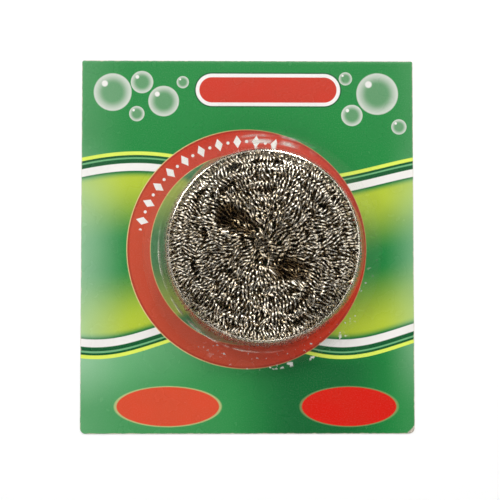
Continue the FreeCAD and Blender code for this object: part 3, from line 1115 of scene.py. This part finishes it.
@dataclass
class Strand:
    """One layer of the pad: flat wires curled round a double spiral, in mm and degrees."""

    node: str
    half_turns: int
    lay: float
    setback: float = -1.2
    reach: float = 34.4
    step: float = 5.3
    samples: int = 60
    press: float = 0.9
    pull: float = 3.5
    pull_length: float = 1.5
    pull_spread: float = 9.0
    wires: tuple[Wire, ...] = (Wire(1.3, 0.45, 1), Wire(-1.3, -0.1, -1), Wire(0.0, -0.9, 1))
    curl_across: float = 1.7
    curl_deep: float = 1.65
    pitch: float = 1.5
    points_per_curl: int = 12
    flatness: float = 0.11
    width: float = 0.38
    thickness: float = 0.14
    # Size, shortest and longest wave of each wander: of the angle, width, depth and lean of the
    # curls, and of their place aside and above
    wanders: tuple[Triple, ...] = (
        (1.6, 4.0, 24.0), (0.2, 3.0, 12.0), (0.18, 3.0, 12.0),
        (0.5, 4.0, 20.0), (0.5, 6.0, 30.0), (0.4, 6.0, 30.0))
    spill_fall: float = 0.55
    spill_limit: float = 2.8
    rim_from: float = 29.0
    rim_width: float = 7.0
    rim_fall: float = 2.6
    hollows: tuple[Hollow, ...] = (
        Hollow(-13.5, 11.5, 6.5, 2.5), Hollow(-8.8, 8.7, 3.4, 2.2), Hollow(-4.5, 6.4, 3.0, 1.8),
        Hollow(8.5, -8.3, 5.6, 2.4), Hollow(14.0, -9.5, 3.6, 2.3), Hollow(0.0, 0.0, 1.6, 6.0))
    proud: float = 0.4
    wall_gap: float = 0.45
    # Painted shade: lifted at the outer turns by radius, darker in the hollows, and a power of the height
    shade_lift_radii: Triple = (10.0, 29.0, 35.0)
    shade_lift_heights: Triple = (0.0, 1.2, 0.4)
    hollow_painted_shade: float = 0.3
    darkest_painted_shade: float = 0.03
    depth_shade_power: float = 2.0
    curl_tones: tuple[float, float] = (0.78, 1.0)
    # Painted shade on the curls' undersides
    inner_painted_shade: float = 0.12
    curl_shade_power: float = 1.8

    def spiral(self) -> tuple[Array, Array]:
        """Give points along the double spiral, end to end through its middle.

        Each arm is a run of half circles with centres on the X axis, over the top to the
        right and under the bottom to the left. The first has the eye's radius and half turn
        k has twice the eye plus (k - 1.5) steps. The other arm is the same turned by half a
        turn. The outer turns are drawn up and down to the same reach as sideways. The last
        half turns would lie a step outside the pad: a soft limit on the radius presses them
        in against their neighbours, so that the pad is round. The middle is pulled up and
        down into a straight run, by a hyperbolic tangent of the height that dies away as a
        bell of the radius. Then the whole layer is turned by the angle that it lies at.

        Returns:
            Pairs of places across and up, and how far each was pressed in.
        """
        limit = self.reach - self.setback
        reach = limit + self.step
        eye = (reach - (self.half_turns - 1) * self.step) / 2
        turn = np.arange(1, self.half_turns + 1)
        radius = np.where(turn == 1, eye, 2 * eye + (turn - 1.5) * self.step)
        side = np.where(turn % 2 == 1, 1.0, -1.0)
        ends = np.cumsum(2 * side * radius)
        centre = ends - side * radius
        sweep = np.linspace(0.0, math.pi, self.samples, endpoint=False)
        x = centre[:, None] - (side * radius)[:, None] * np.cos(sweep)
        y = (side * radius)[:, None] * np.sin(sweep)
        arm = np.concatenate([np.stack([x.ravel(), y.ravel()], axis=1), [[ends[-1], 0.0]]])
        line = np.concatenate([-arm[:0:-1], arm])
        line[:, 1] *= 1 + (reach / radius[-1] - 1) * (line[:, 1] / radius[-1]) ** 2
        out = np.hypot(line[:, 0], line[:, 1])
        held = limit - self.press * np.log1p(np.exp((limit - out) / self.press))
        line *= (held / np.maximum(out, 1e-6))[:, None]
        near = np.exp(-(line ** 2).sum(axis=1) / (2 * self.pull_spread ** 2))
        line[:, 1] += self.pull * np.tanh(line[:, 1] / self.pull_length) * near
        lay = math.radians(self.lay)
        turned = np.array([[math.cos(lay), math.sin(lay)], [-math.sin(lay), math.cos(lay)]])
        return line @ turned, out - held

    def wind(self, random: Random, wire: Wire) -> tuple[Array, Array]:
        """Wind one flat wire round the spiral.

        The wire's middle goes round a flattened oval beside the spiral: aside plus the half
        width times the cosine of the angle, above plus the half depth times its sine, with
        some of the sine of three times the angle to flatten it. Angle, oval and lean wander.
        Its four edges are half the width along the wire's own binormal and half the thickness
        along the oval's radius away from that middle.

        Args:
            random: the source of the wander.
            wire: where the wire lies and the way it winds.

        Returns:
            Rings of four points, and each ring's random tone times its painted shade.
        """
        line, spill = self.spiral()
        lengths = np.concatenate([[0.0], np.cumsum(np.hypot(*np.diff(line, axis=0).T))])
        curls = int(lengths[-1] / self.pitch)
        place = np.linspace(0.0, lengths[-1], curls * self.points_per_curl + 1)
        wanders = (wander(place, random, *sizes)[:, None] for sizes in self.wanders)
        turn, wide, deep, lean, aside, above = wanders
        angle = wire.hand * 2 * math.pi * curls * place[:, None] / lengths[-1] + turn
        x, y = (np.interp(place, lengths, line[:, axis]) for axis in (0, 1))
        flat = np.zeros_like(x)
        heading = np.stack([np.gradient(x, place), np.gradient(y, place), flat], axis=1)
        heading /= np.linalg.norm(heading, axis=1, keepdims=True)
        left = np.stack([-heading[:, 1], heading[:, 0], flat], axis=1)
        up = np.array([0.0, 0.0, 1.0])
        fall = np.minimum(np.interp(place, lengths, spill) * self.spill_fall, self.spill_limit)
        cosine, sine = np.cos(angle), np.sin(angle)
        across = wire.aside + aside + self.curl_across * (1 + wide) * cosine
        rise = self.curl_deep * (1 + deep) * (sine + self.flatness * np.sin(3 * angle)) / (1 - self.flatness)
        middle = np.stack([x, y, wire.above - fall], axis=1)
        middle += left * across + up * (above + rise) + heading * lean * cosine * self.pitch
        tangent = np.gradient(middle, axis=0)
        tangent /= np.linalg.norm(tangent, axis=1, keepdims=True)
        binormal = np.cross(tangent, left * cosine + up * sine)
        binormal /= np.linalg.norm(binormal, axis=1, keepdims=True)
        half = binormal * self.width / 2
        skin = np.cross(binormal, tangent) * self.thickness / 2
        rings = np.stack([middle - half - skin, middle + half - skin,
                          middle + half + skin, middle - half + skin], axis=1)
        number = np.arange(len(place)) // self.points_per_curl
        tone = random.uniform(*self.curl_tones, curls + 1)[number]
        # Painted shade: each curl darker on its underside than on its top
        outward = 0.5 + 0.5 * sine[:, 0]
        return rings, tone * (self.inner_painted_shade + (1 - self.inner_painted_shade) * outward ** self.curl_shade_power)

    def settle(self, placed: Array, blister: Blister) -> Array:
        """Move a wire's points to the layer's height, keep them inside the dome and paint shade on them.

        The front falls with the square of the distance past the rim's start and sinks into
        the hollows. Deeper layers follow by the share of their height. A point's painted
        shade is a power of its height's share of the pad, darker the deeper it lies, with
        the outer turns lifted and the hollows lowered a little.

        Args:
            placed: the wire's points round the pad's middle, which are moved.
            blister: the dome that the pad sits in.

        Returns:
            Each point's painted shade.
        """
        floor, front = (corner[2] for corner in node_box("tie_wire"))
        level = sum(corner[2] for corner in node_box(self.node)) / 2
        x, y = placed[:, 0], placed[:, 1]
        radius = np.hypot(x, y)
        fall = np.clip((radius - self.rim_from) / self.rim_width, 0.0, None) ** 2 * self.rim_fall
        drop = sum(hollow.at(x, y) for hollow in self.hollows)
        placed[:, 2] += level - (fall + drop) * (level - floor) / (front - floor)
        placed[:, 2] = np.clip(placed[:, 2], floor, front + self.proud)
        room = blister.room(placed[:, 2]) - self.wall_gap
        placed[:, :2] *= np.minimum(1.0, room / np.maximum(radius, 1e-6))[:, None]
        # Painted shade: darker the deeper a point lies, lifted at the outer turns and darker in the hollows
        lift = np.interp(radius, self.shade_lift_radii, self.shade_lift_heights)
        seen = placed[:, 2] + fall + lift - self.hollow_painted_shade * drop
        depth = np.clip((seen - floor) / (front - floor), 0.0, 1.0)
        placed[:, :2] += blister.axis
        return self.darkest_painted_shade + (1 - self.darkest_painted_shade) * depth ** self.depth_shade_power

    def build(self, blister: Blister, random: Random) -> Piece:
        """Make the layer's wires as one piece, with a cap at each wire's end.

        Args:
            blister: the dome that the pad sits in.
            random: the source of the wander.

        Returns:
            The layer.
        """
        points, faces, shades = [], [], []
        start = 0
        for wire in self.wires:
            # tone is each ring's random tone times its painted shade
            rings, tone = self.wind(random, wire)
            count, edges = rings.shape[:2]
            placed = rings.reshape(-1, 3).copy()
            shades.append(self.settle(placed, blister) * np.repeat(tone, edges))
            points.append(placed)
            faces.append(grid_faces(count, edges, True) + start)
            last = start + (count - 1) * edges
            corners = np.arange(edges)
            faces.append(np.stack([start + corners, last + corners[::-1]]))
            start += len(placed)
        name = self.node.replace("strand", "curls")
        piece = make_piece(name, np.concatenate(points) * MM, [np.concatenate(faces)])
        store(piece, "shade", np.concatenate(shades))
        return piece


@dataclass
class Scrubber:
    """The pad: four layers of curled wire and the tie that holds them."""

    seed: int = 20
    layers: tuple[Strand, ...] = (
        Strand("back_strand", half_turns=6, lay=110.0, setback=0.5),
        Strand("lower_strand", half_turns=7, lay=75.0, setback=-1.4),
        Strand("upper_strand", half_turns=7, lay=-20.0),
        Strand("front_strand", half_turns=8, lay=33.0),
    )
    # The tie's steel is painted dark, as shade between the curls
    tie_shadow_colour: Colour = (0.09, 0.08, 0.065)

    def build(self, blister: Blister) -> None:
        """Build and dress the layers from the back to the front, and dress the tie in steel painted dark as
        shade between the curls.

        Args:
            blister: the dome that the pad sits in.
        """
        random = np.random.default_rng(self.seed)
        steel = SteelWire("curled_steel").make()
        for layer in self.layers:
            piece = layer.build(blister, random)
            dress(piece, steel)
            seat(piece, Body.SCRUBBER, Slot.STEEL, layer.node)
        shaded_tie_steel = SteelWire("shaded_tie_steel", bright=self.tie_shadow_colour, by_depth=False)
        dress(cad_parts["tie_wire"], shaded_tie_steel.make())
        LOG.info("tie_wire: kept, dressed")


@dataclass(frozen=True)
class Softbox:
    """A rectangular studio lamp that points at the pack, in metres and watts."""

    name: str
    place: Triple
    wide: float
    tall: float
    power: float
    lit: str = ""

    def build(self) -> None:
        """Hang the lamp, and where it names a piece, let it light that piece alone."""
        lamp = bpy.data.lights.new(self.name, "AREA")
        lamp.shape = "RECTANGLE"
        lamp.size = self.wide
        lamp.size_y = self.tall
        lamp.energy = self.power
        hung = bpy.data.objects.new(self.name, lamp)
        hung.location = self.place
        hung.rotation_euler = Vector(self.place).to_track_quat("Z", "Y").to_euler()
        hung.visible_camera = False
        if self.lit:
            receivers = bpy.data.collections.new(self.name)
            receivers.objects.link(bpy.data.objects[self.lit])
            hung.light_linking.receiver_collection = receivers
        bpy.context.scene.collection.objects.link(hung)


@dataclass
class Studio:
    """The floor, the lamps, the surroundings and the camera, in metres and degrees, the sensor in mm."""

    floor_half: float = 2.5
    floor_drop: float = 0.00005
    surroundings: float = 0.02
    horizon: float = 0.92
    white: Colour = (1.0, 1.0, 1.0)
    distance: float = 0.600
    yaw: float = -1.02
    pitch: float = -3.3
    aim: Triple = (0.00093, -0.00153, 0.0)
    frame_width: float = 0.19561
    sensor: float = 36.0
    clear_layers: int = 32
    lamps: tuple[Softbox, ...] = (
        Softbox("left_softbox", (-0.52, 0.10, 0.70), 0.8, 0.5, 2.3),
        Softbox("right_softbox", (0.52, 0.15, 0.70), 0.8, 0.5, 2.25),
        Softbox("top_softbox", (0.0, 0.52, 0.70), 0.9, 0.45, 3.0),
        Softbox("foot_softbox", (0.0, -0.60, 0.66), 0.9, 0.4, 2.45),
        Softbox("left_spark", (-0.38, 0.36, 0.66), 0.10, 0.10, 0.7),
        Softbox("top_spark", (0.15, 0.50, 0.66), 0.10, 0.10, 1.15),
        Softbox("foot_spark", (0.12, -0.50, 0.66), 0.10, 0.10, 0.28),
        Softbox("veil", (-0.12, 0.22, 0.88), 0.5, 0.14, 0.045),
        Softbox("left_glint", (-0.38, 0.36, 0.66), 0.30, 0.36, 6.5, "clear_blister"),
        Softbox("top_glint", (0.15, 0.50, 0.66), 0.20, 0.36, 6.5, "clear_blister"),
        Softbox("right_glint", (0.55, -0.03, 0.62), 1.1, 0.25, 2.7, "clear_blister"),
    )

    def build_floor(self) -> None:
        """Lay the floor just under the card."""
        half = self.floor_half
        corners = [(-half, -half), (half, -half), (half, half), (-half, half)]
        points = np.array([(x, y, -self.floor_drop) for x, y in corners])
        floor = make_piece("studio_floor", points, [np.arange(4)[None, :]])
        dress(floor, PaleFloor().make())

    def build_surroundings(self) -> None:
        """Make the room dim for reflections and pale for the eye."""
        shader = Shader(bpy.data.worlds.new("studio"))
        dim, pale = (shader.node("ShaderNodeBackground", None, {"Color": self.white, "Strength": strength})
                     for strength in (self.surroundings, self.horizon))
        seen = shader.node("ShaderNodeLightPath").outputs["Is Camera Ray"]
        choice = shader.node("ShaderNodeMixShader", None, {0: seen, 1: dim.outputs[0], 2: pale.outputs[0]})
        bpy.context.scene.world = shader.close(choice.outputs[0])

    def build_camera(self) -> None:
        """Set the camera above the card, with the card's top edge up in the picture.

        Its axis leans from the vertical by the yaw across and the pitch along the card, and
        the lens makes the frame as wide as the photograph's at the point aimed at.
        """
        yaw = math.radians(self.yaw)
        pitch = math.radians(self.pitch)
        back = Vector((math.sin(yaw) * math.cos(pitch), math.sin(pitch), math.cos(yaw) * math.cos(pitch)))
        right = Vector((0.0, 1.0, 0.0)).cross(back).normalized()
        up = back.cross(right)
        data = bpy.data.cameras.new("camera")
        data.sensor_width = self.sensor
        data.lens = self.sensor * self.distance / self.frame_width
        camera = bpy.data.objects.new("camera", data)
        turned = Matrix((right, up, back)).transposed().to_4x4()
        camera.matrix_world = Matrix.Translation(Vector(self.aim) + back * self.distance) @ turned
        bpy.context.scene.collection.objects.link(camera)
        bpy.context.scene.camera = camera

    def build(self) -> None:
        """Set up everything that is not part of the object."""
        self.build_floor()
        self.build_surroundings()
        for lamp in self.lamps:
            lamp.build()
        self.build_camera()
        scene = bpy.context.scene
        scene.view_settings.view_transform = "Standard"
        scene.cycles.transparent_max_bounces = self.clear_layers


def main() -> None:
    """Build the pack from the card up, then the studio."""
    logging.basicConfig(level=logging.INFO, format="%(name)s: %(message)s")
    blister = Blister()
    Card().build(blister)
    blister.dress_seal()
    Scrubber().build(blister)
    blister.build()
    Studio().build()


if __name__ == "__main__":
    main()
